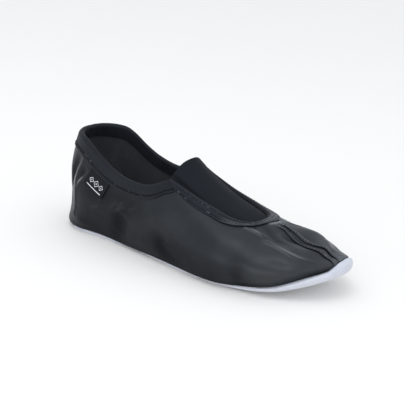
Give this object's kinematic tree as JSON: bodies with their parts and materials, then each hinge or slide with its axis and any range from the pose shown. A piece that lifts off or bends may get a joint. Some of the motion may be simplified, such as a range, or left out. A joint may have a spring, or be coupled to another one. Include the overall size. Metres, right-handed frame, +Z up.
{
  "type": "gymnastics shoe",
  "caption": "Soft right-foot gymnastics slipper with leather upper, elastic instep gusset, bound collar, pin-tucked vamp and thin pale suede sole.",
  "frame": {"origin": "on the floor under the middle of the shoe's bounding box", "axes": "+X from heel to toe, +Y to the medial side of the foot, +Z up"},
  "size_m": [0.2409, 0.0866, 0.0802],
  "materials": {
    "upper_leather": "soft black nappa leather with fine grain and a low sheen",
    "binding_tape": "folded black binding with stitched edge",
    "instep_elastic": "matt black ribbed elastic",
    "sole_suede": "pale cool grey suede split with a short nap",
    "insole_felt": "plain grey felted lining",
    "label_weave": "folded black woven ribbon"
  },
  "bodies": {
    "root": {"outsole": "sole_suede", "insole": "insole_felt", "upper": "upper_leather", "elastic_gusset": "instep_elastic", "collar_binding": "binding_tape", "throat_binding": "binding_tape", "vamp_tuck_lateral": "upper_leather", "vamp_tuck_medial": "upper_leather", "side_label": "label_weave"}
  },
  "joints": []
}
